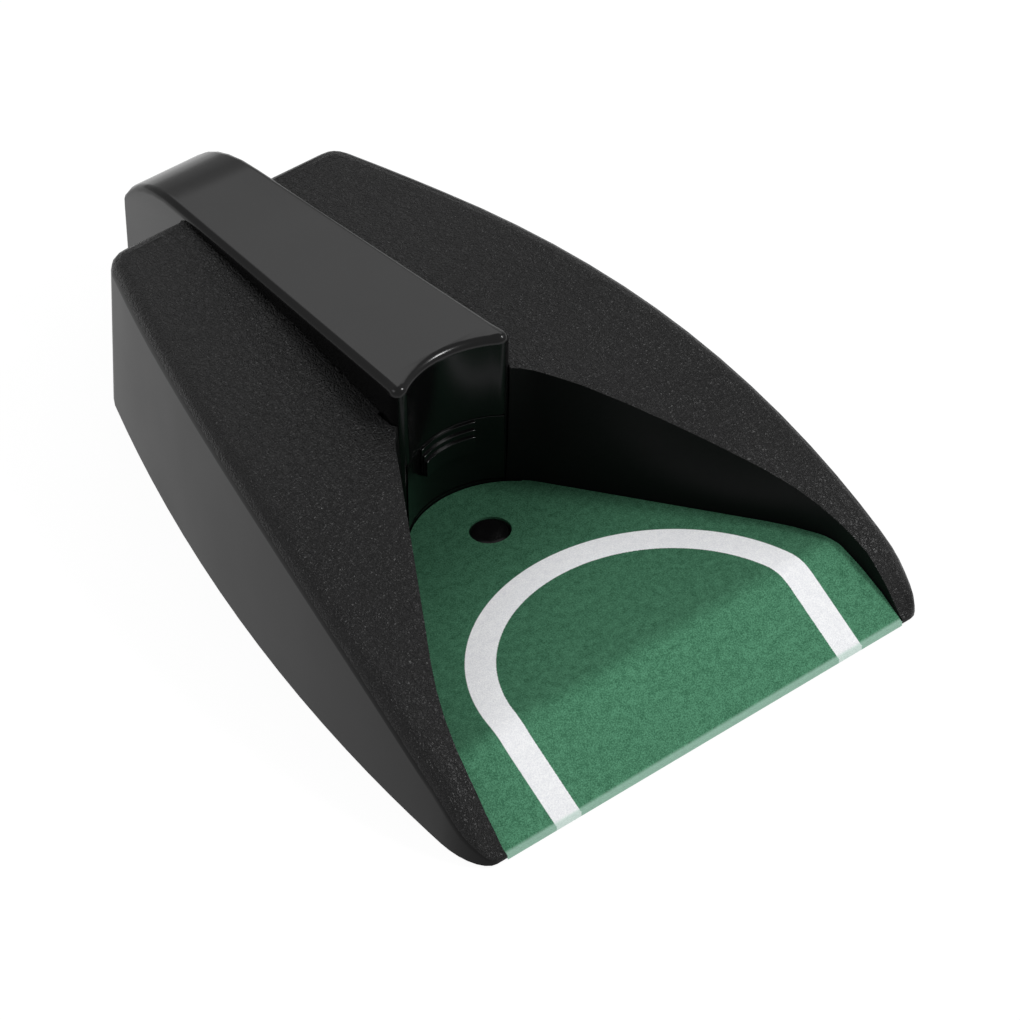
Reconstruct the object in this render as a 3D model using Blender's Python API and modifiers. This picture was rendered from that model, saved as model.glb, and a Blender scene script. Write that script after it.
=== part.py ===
"""An automatic putting cup: a black moulded case with a felt ramp, whose spring-driven kicker
sends the ball back. Everything is measured in millimetres, with y counted back from the front lip."""

import math

import bmesh
import bpy
from mathutils import Matrix, Vector

MM = 0.001
CASE_LENGTH = 262.5
TOTAL_LENGTH = 300.0
FRONT_Y = -TOTAL_LENGTH / 2
CASE_HALF_WIDTH = 96.2
REAR_HALF_WIDTH = 51.5
SHOULDER_Y = 18.0
SIDE_REACH = 242.0
SIDE_POWER = 1.95
TIP_X = 88.0
WALL = 2.5
DRAFT = 0.04
CASE_LOW = 1.0
RIDGE_RADIUS = 6.0
REAR_CORNER = 8.0
INNER_PROFILE = [
    (0.0, 3.6), (4.0, 9.0), (10.0, 14.5), (21.0, 22.2), (42.0, 33.0), (62.0, 41.4), (83.0, 48.6),
    (104.0, 54.6), (117.0, 57.0), (131.0, 57.8), (150.0, 58.6), (175.0, 60.7), (200.0, 62.5),
    (CASE_LENGTH, 64.0),
]
OUTER_PROFILE = [
    (0.0, 3.4), (4.0, 8.8), (10.0, 14.2), (20.0, 21.6), (40.0, 31.8), (60.0, 40.3), (80.0, 47.2),
    (100.0, 52.8), (120.0, 57.2), (140.0, 60.4), (160.0, 62.6), (180.0, 63.9), (200.0, 64.5),
    (CASE_LENGTH, 64.4),
]

NOSE_RADIUS = 33.5
NOSE_Y = 103.5
FLANK_ANGLE = math.radians(31.1)
FLARE_RADIUS = 100.0
FLARE_X = -15.9

HUMP_FRONT_Y = 129.0
HUMP_HALF_FRONT = 24.6
HUMP_HALF_REAR = 16.0
HUMP_TOP_FRONT = 73.0
HUMP_TOP_REAR = 66.8
ROLL_Y = 262.0
ROLL_LOW = 40.0
HUMP_FILLET = 2.8
POST_CORNER = 3.6
COVER_WALL = 2.2
TONGUE_BACK = 139.6
TONGUE_LOW = 8.0
DECK_GAP = 0.4

BELOW = -6.0
ABOVE = 90.0
SCREW_HOLE = 1.9

PLATE_LOW = 1.5
PLATE_TOP = 3.5
PLATE_FRONT_Y = 10.0
PLATE_GAP = 0.8

FELT_PROFILE = [
    (0.3, 2.25), (26.6, 17.35), (28.8, 18.4), (31.2, 19.0), (34.0, 19.2), (112.0, 12.0), (136.0, 9.75)
]
FELT_THICK = 1.0
FELT_GAP = 0.25
RAMP_THICK = 2.2
HOLE_Y = 112.3
HOLE_RADIUS = 7.25

KICKER_HALF = 20.6
KICKER_LOW = 11.5
KICKER_TOP = 39.4
KICKER_THICK = 2.5
KICKER_GAP = 0.4
KICKER_BACK = 146.0
PAD_HALF = 11.5
PAD_LOW = 27.0
PAD_STEPS = [(38.8, 0.8), (36.0, 1.6), (33.6, 2.4)]

ROD_HALF = 3.0
ROD_Z = 33.0
ROD_END_Y = 222.0
RACK_MODULE = 1.0
RACK_PITCH_Z = ROD_Z + ROD_HALF + 1.2
SECTOR_Y = 186.0
SECTOR_TEETH = 20
TRAIN_MODULE = 0.8
FINAL_TEETH = 36
PINION_TEETH = 10
MIDDLE_TEETH = 30
FIRST_TEETH = 26
MESH_SLACK = 0.12
MIDDLE_ANGLE = 0.0
FIRST_ANGLE = math.radians(20)
MOTOR_ANGLE = math.radians(-45)
AXLE_RADIUS = 1.5
BORE_RADIUS = 1.9

CELL_RADIUS = 7.1
CELL_LENGTH = 49.2
CELL_PITCH = 15.2
BAY_HALF = 31.0
BAY_FRONT_Y = 156.0
BAY_REAR_Y = 217.5
BAY_TOP = 18.7
BAY_WALL = 1.5

INLET_Z = 16.0
SCREW_PLACES = [(-80.5, 50.0), (80.5, 50.0), (-41.0, 246.5), (41.0, 246.5)]
FOOT_PLACES = [(-80.0, 24.0), (80.0, 24.0), (-50.0, 206.0), (50.0, 206.0)]

for stale in list(bpy.data.objects):
    bpy.data.objects.remove(stale, do_unlink=True)
parts = bpy.data.collections.new("automatic_putting_cup")
cutters = bpy.data.collections.new("cutters")
bpy.context.scene.collection.children.link(parts)
bpy.context.scene.collection.children.link(cutters)


def material(name, colour, roughness, metallic=0.0):
    made = bpy.data.materials.new(name)
    made.use_nodes = True
    shader = made.node_tree.nodes["Principled BSDF"]
    shader.inputs["Base Color"].default_value = (*colour, 1.0)
    shader.inputs["Roughness"].default_value = roughness
    shader.inputs["Metallic"].default_value = metallic
    return made


GRAINED_BLACK = material("grained_black_plastic", (0.02, 0.02, 0.021), 0.45)
SATIN_BLACK = material("satin_black_plastic", (0.018, 0.018, 0.019), 0.25)
PLAIN_BLACK = material("plain_black_plastic", (0.03, 0.03, 0.032), 0.55)
GREEN_FELT = material("green_felt", (0.03, 0.16, 0.075), 0.95)
NYLON = material("natural_nylon", (0.78, 0.76, 0.70), 0.5)
STEEL = material("bright_steel", (0.62, 0.62, 0.63), 0.3, 1.0)
BRASS = material("brass", (0.72, 0.52, 0.24), 0.3, 1.0)
BOARD_GREEN = material("circuit_board", (0.02, 0.2, 0.09), 0.4)
CELL_JACKET = material("cell_jacket", (0.1, 0.1, 0.3), 0.3)
FOOT_RUBBER = material("foot_rubber", (0.05, 0.05, 0.05), 0.85)
LEAD_RED = material("red_lead", (0.5, 0.02, 0.02), 0.4)


def place(bm, name, finish, origin=(0.0, 0.0, 0.0), cutter=False):
    """Turns a mesh built in millimetres into an object whose origin lies at the given point."""
    bmesh.ops.recalc_face_normals(bm, faces=bm.faces)
    bmesh.ops.translate(bm, verts=bm.verts, vec=-Vector(origin))
    bmesh.ops.scale(bm, verts=bm.verts, vec=(MM, MM, MM))
    mesh = bpy.data.meshes.new(name)
    bm.to_mesh(mesh)
    bm.free()
    mesh.shade_smooth()
    mesh.set_sharp_from_angle(angle=math.radians(35))
    made = bpy.data.objects.new(name, mesh)
    made.location = Vector((origin[0], origin[1] + FRONT_Y, origin[2])) * MM
    if cutter:
        made.hide_render = True
        made.display_type = "WIRE"
        cutters.objects.link(made)
    else:
        mesh.materials.append(finish)
        parts.objects.link(made)
    return made


def tool(bm, name):
    """A cutter or a shape to join, left out of the finished object."""
    return place(bm, name, None, cutter=True)


def boolean(target, other, operation):
    step = target.modifiers.new(f"{operation.lower()}_{other.name}", "BOOLEAN")
    step.operation = operation
    step.object = other
    step.solver = "EXACT"


def cut(target, *tools):
    for tool in tools:
        boolean(target, tool, "DIFFERENCE")


def join(target, *others):
    for other in others:
        boolean(target, other, "UNION")


def box(low, high):
    bm = bmesh.new()
    bmesh.ops.create_cube(bm, size=1.0)
    size = Vector(high) - Vector(low)
    bmesh.ops.scale(bm, verts=bm.verts, vec=size)
    bmesh.ops.translate(bm, verts=bm.verts, vec=(Vector(low) + Vector(high)) / 2)
    return bm


TURNS = {
    "X": Matrix.Rotation(math.pi / 2, 3, "Y"),
    "Y": Matrix.Rotation(-math.pi / 2, 3, "X"),
    "Z": Matrix.Identity(3),
}


def rod(axis, start, length, radius, sides=16, end_radius=None):
    """A round bar from its start point along a row axis."""
    bm = bmesh.new()
    tip = radius if end_radius is None else end_radius
    bmesh.ops.create_cone(
        bm, cap_ends=True, segments=sides, radius1=radius, radius2=tip, depth=length
    )
    bmesh.ops.translate(bm, verts=bm.verts, vec=(0, 0, length / 2))
    bmesh.ops.rotate(bm, verts=bm.verts, cent=(0, 0, 0), matrix=TURNS[axis])
    bmesh.ops.translate(bm, verts=bm.verts, vec=start)
    return bm


def slab(outline, low, high, axis="Z"):
    """A flat outline, drawn as a filled 2D curve and extruded from low to high along the axis."""
    curve = bpy.data.curves.new("outline", "CURVE")
    curve.dimensions = "2D"
    curve.fill_mode = "BOTH"
    curve.extrude = (high - low) / 2
    line = curve.splines.new("POLY")
    line.points.add(len(outline) - 1)
    for point, (u, v) in zip(line.points, outline):
        point.co = (u, v, 0, 1)
    line.use_cyclic_u = True
    holder = bpy.data.objects.new("outline", curve)
    bpy.context.scene.collection.objects.link(holder)
    graph = bpy.context.evaluated_depsgraph_get()
    mesh = bpy.data.meshes.new_from_object(holder.evaluated_get(graph))
    bm = bmesh.new()
    bm.from_mesh(mesh)
    bpy.data.objects.remove(holder)
    bmesh.ops.remove_doubles(bm, verts=bm.verts, dist=1e-4)
    bmesh.ops.translate(bm, verts=bm.verts, vec=(0, 0, (low + high) / 2))
    if axis == "X":
        cycle = Matrix(((0, 0, 1), (1, 0, 0), (0, 1, 0)))
        bmesh.ops.transform(bm, verts=bm.verts, matrix=cycle.to_4x4())
    return bm


def turned(name, profile, finish, steps, axis, start):
    """A turned piece: (radius, distance) pairs along the axis, closed on the axis at both ends."""
    mesh = bpy.data.meshes.new(name)
    bm = bmesh.new()
    points = [bm.verts.new((r * MM, 0, d * MM)) for r, d in reversed(profile)]
    for a, b in zip(points, points[1:]):
        bm.edges.new((a, b))
    bm.to_mesh(mesh)
    bm.free()
    mesh.materials.append(finish)
    made = bpy.data.objects.new(name, mesh)
    made.matrix_world = Matrix.Translation(
        Vector((start[0], start[1] + FRONT_Y, start[2])) * MM
    ) @ TURNS[axis].to_4x4()
    parts.objects.link(made)
    screw = made.modifiers.new("turn", "SCREW")
    screw.steps = steps
    screw.render_steps = steps
    screw.use_merge_vertices = True
    screw.merge_threshold = 1e-5
    return made


def smooth_height(y, points=INNER_PROFILE):
    """A top line's height at a distance from the lip, a cubic through the profile's points."""
    if y <= points[0][0]:
        return points[0][1]
    last = len(points) - 1
    slopes = [
        (points[min(i + 1, last)][1] - points[max(i - 1, 0)][1])
        / (points[min(i + 1, last)][0] - points[max(i - 1, 0)][0])
        for i in range(len(points))
    ]
    slopes[-2] = slopes[-1]
    for (y0, z0), (y1, z1), m0, m1 in zip(points, points[1:], slopes, slopes[1:]):
        if y <= y1:
            span = y1 - y0
            t = (y - y0) / span
            return (
                z0 * (2 * t**3 - 3 * t**2 + 1) + m0 * span * (t**3 - 2 * t**2 + t)
                + z1 * (3 * t**2 - 2 * t**3) + m1 * span * (t**3 - t**2)
            )
    return points[-1][1]


def top_height(y, share):
    """The top's height between the middle, at share 0, and the outer ridge, at share 1."""
    inner = smooth_height(y)
    return inner + (smooth_height(y, OUTER_PROFILE) - inner) * share**2


def side_x(y):
    s = max(0.0, (y - SHOULDER_Y) / SIDE_REACH)
    return CASE_HALF_WIDTH - (CASE_HALF_WIDTH - REAR_HALF_WIDTH) * s**SIDE_POWER


def arc(cx, cy, rx, ry, start, end, count):
    angles = [math.radians(start + (end - start) * i / count) for i in range(count + 1)]
    return [(cx + rx * math.cos(a), cy + ry * math.sin(a)) for a in angles]


def case_half():
    """The right half of the case's footprint, from the front tip round to the rear wall."""
    front = arc(TIP_X, SHOULDER_Y, CASE_HALF_WIDTH - TIP_X, SHOULDER_Y, -90, 0, 7)
    first = CASE_LENGTH - REAR_CORNER
    side = [(side_x(y), y) for y in (24, 34, 45, 57, 70, 84, 98, 112, 126, 140)]
    side += [(side_x(y), y) for y in (155, 170, 185, 200, 215, 228, 240)]
    start = Vector((side_x(first), first))
    corner = Vector((side_x(CASE_LENGTH) - 0.3, CASE_LENGTH))
    end = corner - Vector((REAR_CORNER, 0))
    bend = [
        tuple(start.lerp(corner, t).lerp(corner.lerp(end, t), t))
        for t in (0, 0.25, 0.5, 0.75, 1)
    ]
    return front + side + bend


def outline_normals(ring):
    """The outward normal at each point of a closed ring that runs anticlockwise."""
    normals = []
    for i, point in enumerate(ring):
        before = Vector(point) - Vector(ring[i - 1])
        after = Vector(ring[(i + 1) % len(ring)]) - Vector(point)
        along = before.normalized() + after.normalized()
        normals.append(Vector((along.y, -along.x)).normalized())
    return normals


def case_body(low, inset, lower, radius):
    """The case as a solid block: a drafted side, a rounded ridge and a crowned top."""
    half = case_half()
    ring = half + [(-x, y) for x, y in reversed(half)]
    normals = outline_normals(ring)
    count = len(half)
    bm = bmesh.new()
    levels = []
    edge = [top_height(y, 1.0) - lower for _, y in ring]
    turns = [0.0, 22.5, 45.0, 67.5, 90.0]
    for k in range(len(turns) + 1):
        verts = []
        for (x, y), normal, top in zip(ring, normals, edge):
            round_off = min(radius, 0.5 * max(top - CASE_LOW, 0.2))
            if k == 0:
                z, back = low, 0.0
            else:
                turn = math.radians(turns[k - 1])
                z = top - round_off + round_off * math.sin(turn)
                back = round_off * (1 - math.cos(turn)) + DRAFT * (top - CASE_LOW)
            spot = Vector((x, y)) - normal * (inset + back)
            verts.append(bm.verts.new((spot.x, spot.y, z)))
        levels.append(verts)
    bm.faces.new(list(reversed(levels[0])))
    size = len(ring)
    for k, (below, above) in enumerate(zip(levels, levels[1:])):
        top_front = k == len(levels) - 2
        for i in range(size):
            j = (i + 1) % size
            crossing = i in (count - 1, size - 1)
            if not (top_front and crossing):
                bm.faces.new((below[i], below[j], above[j], above[i]))
    rim = levels[-1]
    shares = [0.9, 0.8, 0.7, 0.58, 0.44, 0.28, 0.1]
    shares = shares + [-s for s in reversed(shares)]
    rows = []
    for i in range(count):
        right, left = rim[i], rim[size - 1 - i]
        row = [right]
        for share in shares:
            level = top_height(half[i][1], share) - lower
            row.append(bm.verts.new((right.co.x * share, right.co.y, level)))
        row.append(left)
        rows.append(row)
    for here, there in zip(rows, rows[1:]):
        for a, b, c, d in zip(here, here[1:], there[1:], there):
            bm.faces.new((a, d, c, b))
    front_low = levels[-2]
    bm.faces.new([front_low[size - 1], front_low[0]] + rows[0])
    bm.faces.new([front_low[count - 1], front_low[count]] + list(reversed(rows[-1])))
    return bm


def funnel(offset, front=-6.0):
    """The pocket's outline: a round nose, straight flanks and mouths that turn to the front."""
    reach = math.degrees(FLANK_ANGLE)
    nose_radius = NOSE_RADIUS + offset
    flare_radius = FLARE_RADIUS + offset
    nose = arc(0, NOSE_Y, nose_radius, nose_radius, 90, reach, 9)
    flank_width = FLARE_X + (FLARE_RADIUS - NOSE_RADIUS) * math.cos(FLANK_ANGLE)
    flare_y = NOSE_Y + (NOSE_RADIUS - FLARE_RADIUS) * math.sin(FLANK_ANGLE)
    flare_y -= flank_width / math.tan(FLANK_ANGLE)
    flare = arc(FLARE_X, flare_y, flare_radius, flare_radius, reach, 0, 6)
    right = nose + flare + [(flare[-1][0], front)]
    return right + [(-x, y) for x, y in reversed(right[1:])]


def tapered(low_outline, high_outline, low, high):
    """A block between two outlines with matching points, as the pocket's drafted walls need."""
    bm = bmesh.new()
    rings = [
        [bm.verts.new((x, y, z)) for x, y in outline]
        for outline, z in ((low_outline, low), (high_outline, high))
    ]
    bm.faces.new(rings[0])
    bm.faces.new(rings[1])
    size = len(rings[0])
    for i in range(size):
        j = (i + 1) % size
        bm.faces.new((rings[0][i], rings[0][j], rings[1][j], rings[1][i]))
    return bm


# Wing shell: the grained upper case with its two arms, deck and pocket flanks.
POCKET_LEAN = 4.5
POCKET_HIGH = 84.0
BOSS_LOW = 4.0
POST_X = HUMP_HALF_FRONT - POST_CORNER
POST_Y = NOSE_Y + math.sqrt((NOSE_RADIUS + POST_CORNER) ** 2 - POST_X**2)


def slot_outline(back):
    """The hole for the spine's foot: its rounded front corners, and a straight rear edge."""
    reach = POST_CORNER + DECK_GAP
    right = arc(POST_X, POST_Y, reach, reach, -90, 0, 5)
    right.append((POST_X + reach, back))
    return right + [(-x, y) for x, y in reversed(right)]


wing_shell = place(case_body(CASE_LOW, 0.0, 0.0, RIDGE_RADIUS), "wing_shell", GRAINED_BLACK)
case_void = tool(case_body(BELOW, WALL, WALL, RIDGE_RADIUS - WALL), "case_void")
wall_low, wall_high = funnel(WALL - 0.05), funnel(WALL - 0.3 + POCKET_LEAN)
pocket_wall = tool(tapered(wall_low, wall_high, PLATE_TOP + 0.4, POCKET_HIGH), "pocket_wall")
pocket = tool(tapered(funnel(-0.3), funnel(POCKET_LEAN - 0.3), BELOW, POCKET_HIGH), "pocket")
cut(case_void, pocket_wall)
cover_slot = tool(slab(slot_outline(TONGUE_BACK + DECK_GAP), BELOW, ABOVE), "cover_slot")
kicker_way = tool(slab(slot_outline(KICKER_BACK), BELOW, 50), "kicker_way")
deck_opening = tool(box((-14.5, 147, 40), (14.5, 246, ABOVE)), "deck_opening")
rear_notch = tool(box((-13.4, 250, BELOW), (13.4, 270, 4.2)), "rear_notch")
cut(wing_shell, case_void, pocket, cover_slot, kicker_way, deck_opening, rear_notch)
for number, (x, y) in enumerate(SCREW_PLACES, 1):
    share = abs(x) / (side_x(y) - RIDGE_RADIUS)
    under = top_height(y, share) - WALL * 0.6
    join(wing_shell, tool(rod("Z", (x, y, BOSS_LOW), under - BOSS_LOW, 3.6, 14), f"boss_{number}"))
    cut(wing_shell, tool(rod("Z", (x, y, 0), 16.0, SCREW_HOLE, 12), f"boss_hole_{number}"))


def hump_half_width(y):
    share = (y - HUMP_FRONT_Y) / (TOTAL_LENGTH - HUMP_FRONT_Y)
    return HUMP_HALF_FRONT + (HUMP_HALF_REAR - HUMP_HALF_FRONT) * share


def hump_top(y, inner=0.0):
    """A gentle fall to the rear, then a quarter ellipse down to the back face, or its inner side."""
    if y <= ROLL_Y:
        share = (y - HUMP_FRONT_Y) / (ROLL_Y - HUMP_FRONT_Y)
        return HUMP_TOP_FRONT + (HUMP_TOP_REAR - HUMP_TOP_FRONT) * share - inner
    reach = min(1.0, (y - ROLL_Y) / (TOTAL_LENGTH - ROLL_Y - inner))
    low = ROLL_LOW - 2.2 * inner
    return low + (HUMP_TOP_REAR - inner - low) * math.sqrt(1 - reach**2)


def hump_block(inset, lower, fillet, low):
    """The raised spine: a concave front, straight tapered sides and a rolled-down back."""
    front_radius = NOSE_RADIUS + inset
    tangent = (POST_X - inset) / (front_radius + (POST_CORNER if inset == 0 else 0))
    reach = math.degrees(math.acos(tangent))
    right = arc(0, NOSE_Y, front_radius, front_radius, 90, reach, 8)
    if inset == 0:
        right += arc(POST_X, POST_Y, POST_CORNER, POST_CORNER, reach - 180, 0, 6)[1:]
    else:
        right.append((hump_half_width(right[-1][1] + 3) - inset, right[-1][1] + 0.5))
    start = right[-1][1]
    right += [
        (hump_half_width(y) - inset, y)
        for y in (140, 165, 190, 215, 240, 255, ROLL_Y, 270, 277, 283, 288.5, 293, 296.4)
        if y > start and y < TOTAL_LENGTH - inset - 1
    ]
    back = TOTAL_LENGTH - inset
    right.append((hump_half_width(back) - inset - 1.6, back - 0.6))
    right.append((hump_half_width(back) - inset - 4.0, back))
    ring = right + [(-x, y) for x, y in reversed(right[1:])]
    normals = [-n for n in outline_normals(ring)]
    bm = bmesh.new()
    levels = []
    for k, turn in enumerate((None, 0.0, 30.0, 60.0, 90.0)):
        verts = []
        for (x, y), normal in zip(ring, normals):
            top = hump_top(y, lower)
            if k == 0:
                spot, z = Vector((x, y)), low
            else:
                spin = math.radians(turn)
                spot = Vector((x, y)) + normal * fillet * (1 - math.cos(spin))
                z = top - fillet + fillet * math.sin(spin)
            verts.append(bm.verts.new((spot.x, spot.y, z)))
        levels.append(verts)
    size = len(ring)
    bm.faces.new(levels[0])
    for below, above in zip(levels, levels[1:]):
        for i in range(size):
            j = (i + 1) % size
            bm.faces.new((below[i], below[j], above[j], above[i]))
    rim = levels[-1]
    first = next(i for i in range(len(right)) if right[i][1] >= 140)
    bm.faces.new(rim[: first + 1] + rim[size - first:])
    for i in range(first, len(right) - 1):
        bm.faces.new((rim[i], rim[i + 1], rim[size - i - 1], rim[size - i]))
    return bm


# Centre cover: the smooth spine over the mechanism, whose front wall closes the pocket.
centre_cover = place(hump_block(0.0, 0.0, HUMP_FILLET, PLATE_LOW - 0.3), "centre_cover", SATIN_BLACK)
cover_void = tool(hump_block(COVER_WALL, COVER_WALL, 0.4, BELOW), "cover_void")
deck_line = smooth_height(TONGUE_BACK) + DECK_GAP
ridge = RIDGE_RADIUS + DECK_GAP
rear_height = top_height(CASE_LENGTH, 1.0)
rear_top = CASE_LENGTH - DRAFT * (rear_height - CASE_LOW)
rear_arc = arc(rear_top - RIDGE_RADIUS, rear_height - RIDGE_RADIUS + 0.1, ridge, ridge, 90, 0, 4)
under_deck = tool(
    slab(
        [(TONGUE_BACK, BELOW), (TONGUE_BACK, deck_line + 0.2)]
        + [(y, top_height(y, 0.35) + DECK_GAP) for y in (150, 162, 175, 188, 200, 225, 246)]
        + rear_arc
        + [(CASE_LENGTH + DECK_GAP + 0.2, BELOW)],
        -60, 60, "X",
    ),
    "under_deck",
)
below_tongue = tool(box((-30, 110, BELOW), (30, TONGUE_BACK + 1, TONGUE_LOW)), "below_tongue")
kicker_opening = tool(
    box(
        (-KICKER_HALF - KICKER_GAP, 110, KICKER_LOW - KICKER_GAP),
        (KICKER_HALF + KICKER_GAP, KICKER_BACK, KICKER_TOP + KICKER_GAP),
    ),
    "kicker_opening",
)
inlet_hole = tool(rod("Y", (0, 290, INLET_Z), 20, 5.0, 20), "inlet_hole")
cut(centre_cover, cover_void, under_deck, below_tongue, kicker_opening, inlet_hole)


def base_outline():
    """The floor's outline, clear of the case walls, with a tongue under the spine's overhang."""
    inset = WALL + PLATE_GAP
    half = [(x, y) for x, y in case_half() if y > PLATE_FRONT_Y]
    ring = half + [(-x, y) for x, y in reversed(half)]
    normals = outline_normals(ring)
    shrunk = [Vector(p) - n * inset for p, n in zip(ring, normals)][: len(half)]
    right = [(shrunk[1].x - 1.2, PLATE_FRONT_Y)]
    right += [(p.x, p.y) for p in shrunk[1:] if p.y < CASE_LENGTH - inset - 0.2]
    right += [(13.0, CASE_LENGTH - inset), (11.4, TOTAL_LENGTH - 7.0), (9.4, TOTAL_LENGTH - 3.2)]
    return right + [(-x, y) for x, y in reversed(right)]


# Base plate: the flat floor, with the battery box and the board posts moulded on it.
base_plate = place(slab(base_outline(), PLATE_LOW, PLATE_TOP), "base_plate", PLAIN_BLACK)
battery_box = tool(
    box(
        (-BAY_HALF - BAY_WALL, BAY_FRONT_Y - BAY_WALL, 2.0),
        (BAY_HALF + BAY_WALL, BAY_REAR_Y + BAY_WALL, BAY_TOP + BAY_WALL),
    ),
    "battery_box",
)
bay_low, bay_high = (-BAY_HALF, BAY_FRONT_Y, BELOW), (BAY_HALF, BAY_REAR_Y, BAY_TOP)
join(base_plate, battery_box)
for number, (x, y) in enumerate([(-60, 178), (-42, 178), (-60, 201), (-42, 201)], 1):
    join(base_plate, tool(rod("Z", (x, y, 3), 6.7, 2.2, 10), f"board_post_{number}"))
cut(base_plate, tool(box(bay_low, bay_high), "battery_space"))
for number, (x, y) in enumerate(SCREW_PLACES, 1):
    cut(base_plate, tool(rod("Z", (x, y, 0), 6, SCREW_HOLE, 12), f"plate_hole_{number}"))
    case_screw = place(rod("Z", (x, y, 0.9), 13.5, 1.45, 10), f"case_screw_{number}", STEEL)
    join(case_screw, tool(rod("Z", (x, y, 0.25), 0.95, 3.2, 14), f"screw_head_{number}"))
for number, (x, y) in enumerate(FOOT_PLACES, 1):
    place(rod("Z", (x, y, 0), 1.2, 5.5, 20, 6.0), f"rubber_foot_{number}", FOOT_RUBBER)

# Battery door: lies flush in the floor and swings down about hooks at its front edge.
DOOR_HINGE = (0.0, BAY_FRONT_Y + 1.4, 2.4)
door_low = (-BAY_HALF + 0.5, BAY_FRONT_Y + 0.6, PLATE_LOW)
door_high = (BAY_HALF - 0.5, BAY_REAR_Y - 0.6, PLATE_TOP - 0.2)
battery_door = place(box(door_low, door_high), "battery_door", PLAIN_BLACK, DOOR_HINGE)
cut(battery_door, tool(box((-8, BAY_REAR_Y - 6, 0), (8, BAY_REAR_Y - 3, 2.3)), "finger_dip"))

# Cells: four cylinders side by side, turned alternately end for end.
CELL_Z = 3.9 + CELL_RADIUS
CELL_WHOLE = CELL_LENGTH + 1.2
CELL_PROFILE = [
    (0, 0), (5.6, 0), (6.2, 0.3), (CELL_RADIUS, 0.5), (CELL_RADIUS, CELL_LENGTH - 0.6),
    (6.4, CELL_LENGTH), (2.7, CELL_LENGTH), (2.6, CELL_WHOLE), (0, CELL_WHOLE),
]
CELL_FLIPPED = [(radius, CELL_WHOLE - along) for radius, along in reversed(CELL_PROFILE)]
CELL_XS = [(number - 1.5) * CELL_PITCH for number in range(4)]
for number, x in enumerate(CELL_XS, 1):
    profile = CELL_PROFILE if number % 2 else CELL_FLIPPED
    turned(f"battery_cell_{number}", profile, CELL_JACKET, 16, "Y", (x, BAY_FRONT_Y + 5.0, CELL_Z))


def contact_strip(name, y, bump):
    """A pressed metal strip with a tapered bump for each cell, towards +y or -y."""
    strip = place(box((-28.5, y - 0.2, 6), (28.5, y + 0.2, 16)), name, STEEL)
    near, far = (3.4, 1.4) if bump > 0 else (1.4, 3.4)
    for number, x in enumerate(CELL_XS, 1):
        start = (x, min(y, y + bump), CELL_Z)
        join(strip, tool(rod("Y", start, abs(bump), near, 10, far), f"{name}_bump_{number}"))


contact_strip("front_contact_strip", BAY_FRONT_Y + 0.6, 3.6)
contact_strip("rear_contact_strip", BAY_REAR_Y - 0.6, -4.0)


def felt_height(y):
    for (y0, z0), (y1, z1) in zip(FELT_PROFILE, FELT_PROFILE[1:]):
        if y <= y1:
            return z0 + (z1 - z0) * (y - y0) / (y1 - y0)
    return FELT_PROFILE[-1][1]


def clear_of_spine():
    """The floor plan in front of the spine's upright wall, which doesn't lean as the pocket does."""
    curve = arc(0, NOSE_Y, NOSE_RADIUS - 0.35, NOSE_RADIUS - 0.35, 90, 42, 8)
    right = curve + [(29, 131), (95, 131), (95, -8)]
    return right + [(-x, y) for x, y in reversed(right[1:])]


def ramp_layer(name, drop, thick, offset, hole_radius, finish, lowest=0.3):
    """One layer of the ramp: its bent profile across the pocket, trimmed to the pocket's outline."""
    top = [(y, z - drop) for y, z in FELT_PROFILE] + [(145.0, FELT_PROFILE[-1][1] - drop - 0.8)]
    under = [(y, max(z - thick, lowest)) for y, z in top]
    lip = [(top[0][0] + 1.2 * thick, lowest)] if top[0][1] - thick < lowest else []
    layer = place(slab(top + list(reversed(under[1:])) + lip + [under[0]], -92, 92, "X"), name, finish)
    trim = tapered(funnel(offset), funnel(offset + POCKET_LEAN), BELOW, POCKET_HIGH)
    boolean(layer, tool(trim, f"{name}_trim"), "INTERSECT")
    boolean(layer, tool(slab(clear_of_spine(), BELOW, 60), f"{name}_nose"), "INTERSECT")
    return layer, tool(rod("Z", (0, HOLE_Y, BELOW), 40, hole_radius, 28), f"{name}_hole")


# Ramp plate: the moulded ramp under the felt, with ribs and a collar that guides the trigger.
ramp_plate, ramp_hole = ramp_layer(
    "ramp_plate", FELT_THICK + FELT_GAP, RAMP_THICK, -0.8, HOLE_RADIUS + 0.15, PLAIN_BLACK
)
join(ramp_plate, tool(rod("Z", (0, HOLE_Y, 7.2), 2.6, HOLE_RADIUS + 1.8, 28), "trigger_collar"))
RIB_CREST = (30.6, 17.0)
RIB_FALL = 0.095
for number, (x, rear) in enumerate([(-40, 84), (0, 98), (40, 84)], 1):
    rear_top = RIB_CREST[1] - RIB_FALL * (rear - RIB_CREST[0])
    outline = [(14, 3.9), (14, 7.0), RIB_CREST, (rear, rear_top), (rear, 3.9)]
    join(ramp_plate, tool(slab(outline, x - 0.8, x + 0.8, "X"), f"ramp_rib_{number}"))
cut(ramp_plate, ramp_hole)
felt, felt_hole = ramp_layer("felt", 0.0, FELT_THICK, -0.6, HOLE_RADIUS, GREEN_FELT, 1.25)
cut(felt, felt_hole)

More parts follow.
